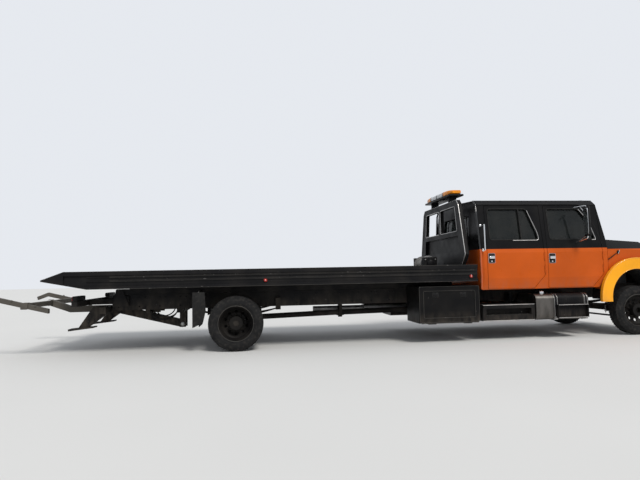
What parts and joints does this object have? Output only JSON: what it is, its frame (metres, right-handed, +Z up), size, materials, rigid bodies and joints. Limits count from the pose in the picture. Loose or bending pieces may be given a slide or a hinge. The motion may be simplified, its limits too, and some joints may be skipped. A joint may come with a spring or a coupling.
{
  "type": "tow truck",
  "caption": "Rollback tow truck with a crew cab, a tilting and sliding deck, headboard with a light bar, winch, wheel lift, side toolboxes and dual rear wheels.",
  "frame": {"origin": "on the ground, in the middle of the truck's length with its lifting forks, and of its width", "axes": "+X to the front of the truck, +Y to its left side, +Z up"},
  "size_m": [10.9, 2.532, 2.4999],
  "materials": {
    "frame_black": "satin",
    "deck_black": "worn satin",
    "body_orange": "gloss",
    "cast": "rough",
    "fork_steel": "worn grey",
    "wheel_paint": "satin",
    "tyre": "matt",
    "tank": "worn",
    "bright": "polished",
    "rod_steel": "polished",
    "amber": "clear coloured",
    "red": "clear coloured",
    "glass": "clear",
    "lamp_glass": "clear",
    "seat": "woven",
    "trim": "grained",
    "rubber": "matt"
  },
  "bodies": {
    "root": {"chassis_frame": "frame_black", "leaf_springs": "cast", "rear_axle": "cast", "front_axle": "cast", "engine_block": "cast", "radiator": "frame_black", "driveshaft": "cast", "exhaust": "cast", "tail_lamps": "red", "cab_shell": "body_orange", "cab_glass": "glass", "seats": "seat", "dashboard": "trim", "grab_handles": "bright", "front_bumper": "bright", "fuel_tanks": "tank", "tank_straps": "frame_black", "cab_steps": "frame_black", "toolboxes": "frame_black", "mud_flaps": "rubber"},
    "knuckle_right": {"steering_knuckle_right": "cast"},
    "knuckle_left": {"steering_knuckle_left": "cast"},
    "tie_rod": {"tie_rod": "cast"},
    "front_wheel_right": {"front_tyre_right": "tyre", "front_rim_right": "wheel_paint"},
    "front_wheel_left": {"front_tyre_left": "tyre", "front_rim_left": "wheel_paint"},
    "rear_wheels_right": {"rear_tyres_right": "tyre", "rear_rims_right": "wheel_paint"},
    "rear_wheels_left": {"rear_tyres_left": "tyre", "rear_rims_left": "wheel_paint"},
    "tilt_frame": {"tilt_frame": "frame_black"},
    "tilt_barrels": {"tilt_cylinder_barrels": "frame_black"},
    "tilt_rods": {"tilt_cylinder_rods": "rod_steel"},
    "wheel_lift": {"wheel_lift": "frame_black", "lift_forks": "fork_steel"},
    "lift_barrel": {"lift_cylinder_barrel": "frame_black"},
    "lift_rod": {"lift_cylinder_rod": "rod_steel"},
    "deck": {"deck": "deck_black", "deck_side_rails": "deck_black", "marker_lamps": "amber", "headboard": "deck_black", "light_bar": "amber", "winch_frame": "frame_black"},
    "winch_drum": {"winch_drum": "cast"},
    "hood": {"hood": "body_orange", "grille": "bright", "headlamps": "lamp_glass"},
    "front_door_right": {"front_door_right": "body_orange", "front_door_glass_right": "glass", "mirror_right": "bright"},
    "front_door_left": {"front_door_left": "body_orange", "front_door_glass_left": "glass", "mirror_left": "bright"},
    "rear_door_right": {"rear_door_right": "body_orange", "rear_door_glass_right": "glass"},
    "rear_door_left": {"rear_door_left": "body_orange", "rear_door_glass_left": "glass"},
    "toolbox_door_right": {"toolbox_door_right": "frame_black"},
    "toolbox_door_left": {"toolbox_door_left": "frame_black"}
  },
  "joints": [
    {"name": "rear_wheels_right_spin", "type": "hinge", "parent": "root", "child": "rear_wheels_right", "pos_m": [-1.87, -0.95, 0.405], "axis": [0, 1, 0], "continuous": true},
    {"name": "rear_wheels_left_spin", "type": "hinge", "parent": "root", "child": "rear_wheels_left", "pos_m": [-1.87, 0.95, 0.405], "axis": [0, 1, 0], "continuous": true},
    {"name": "steer_right", "type": "hinge", "parent": "root", "child": "knuckle_right", "pos_m": [4.71, -0.815, 0.405], "axis": [0, 0, 1], "range_deg": [-30, 30]},
    {"name": "steer_left", "type": "hinge", "parent": "root", "child": "knuckle_left", "pos_m": [4.71, 0.815, 0.405], "axis": [0, 0, 1], "range_deg": [-30, 30]},
    {"name": "tie_rod_shift", "type": "slide", "parent": "root", "child": "tie_rod", "axis": [0, 1, 0], "range_m": [-0.08, 0.08]},
    {"name": "front_wheel_right_spin", "type": "hinge", "parent": "knuckle_right", "child": "front_wheel_right", "pos_m": [4.71, -0.9475, 0.405], "axis": [0, 1, 0], "continuous": true},
    {"name": "front_wheel_left_spin", "type": "hinge", "parent": "knuckle_left", "child": "front_wheel_left", "pos_m": [4.71, 0.9475, 0.405], "axis": [0, 1, 0], "continuous": true},
    {"name": "bed_tilt", "type": "hinge", "parent": "root", "child": "tilt_frame", "pos_m": [-3.69, 0, 0.89], "axis": [0, -1, 0], "range_deg": [0, 14.5]},
    {"name": "deck_slide", "type": "slide", "parent": "tilt_frame", "child": "deck", "axis": [-1, 0, 0], "range_m": [0, 3.38]},
    {"name": "winch_drum_spin", "type": "hinge", "parent": "deck", "child": "winch_drum", "pos_m": [1.438, 0, 1.25], "axis": [0, 1, 0], "continuous": true},
    {"name": "tilt_barrels_swing", "type": "hinge", "parent": "root", "child": "tilt_barrels", "pos_m": [-3.15, 0, 0.655], "axis": [0, -1, 0], "range_deg": [0, 19.09]},
    {"name": "tilt_rods_extend", "type": "slide", "parent": "tilt_barrels", "child": "tilt_rods", "axis": [0.9847, 0, 0.1742], "range_m": [0, 0.1021]},
    {"name": "wheel_lift_lower", "type": "hinge", "parent": "root", "child": "wheel_lift", "pos_m": [-2.77, 0, 0.332], "axis": [0, -1, 0], "range_deg": [0, 11]},
    {"name": "lift_barrel_swing", "type": "hinge", "parent": "root", "child": "lift_barrel", "pos_m": [-2.82, 0, 0.66], "axis": [0, -1, 0], "range_deg": [0, 11.51]},
    {"name": "lift_rod_extend", "type": "slide", "parent": "lift_barrel", "child": "lift_rod", "axis": [-0.9985, 0, 0.0555], "range_m": [0, 0.0637]},
    {"name": "hood_tilt", "type": "hinge", "parent": "root", "child": "hood", "pos_m": [5.31, 0, 0.75], "axis": [0, 1, 0], "range_deg": [0, 65]},
    {"name": "front_door_right_swing", "type": "hinge", "parent": "root", "child": "front_door_right", "pos_m": [4.159, -1.005, 0], "axis": [0, 0, 1], "range_deg": [0, 65]},
    {"name": "front_door_left_swing", "type": "hinge", "parent": "root", "child": "front_door_left", "pos_m": [4.159, 1.005, 0], "axis": [0, 0, -1], "range_deg": [0, 65]},
    {"name": "rear_door_right_swing", "type": "hinge", "parent": "root", "child": "rear_door_right", "pos_m": [3.119, -1.005, 0], "axis": [0, 0, 1], "range_deg": [0, 65]},
    {"name": "rear_door_left_swing", "type": "hinge", "parent": "root", "child": "rear_door_left", "pos_m": [3.119, 1.005, 0], "axis": [0, 0, -1], "range_deg": [0, 65]},
    {"name": "toolbox_door_right_drop", "type": "hinge", "parent": "root", "child": "toolbox_door_right", "pos_m": [1.41, -1.15, 0.306], "axis": [1, 0, 0], "range_deg": [0, 90]},
    {"name": "toolbox_door_left_drop", "type": "hinge", "parent": "root", "child": "toolbox_door_left", "pos_m": [1.41, 1.15, 0.306], "axis": [-1, 0, 0], "range_deg": [0, 90]}
  ],
  "couplings": [
    {"joint": "steer_left", "follows": "steer_right", "ratio": 1},
    {"joint": "tie_rod_shift", "follows": "steer_right", "m_per_rad": -0.15},
    {"joint": "tilt_barrels_swing", "follows": "bed_tilt", "ratio": 1.313},
    {"joint": "tilt_rods_extend", "follows": "bed_tilt", "m_per_rad": 0.4014},
    {"joint": "lift_barrel_swing", "follows": "wheel_lift_lower", "ratio": 1.0419},
    {"joint": "lift_rod_extend", "follows": "wheel_lift_lower", "m_per_rad": 0.3294}
  ]
}
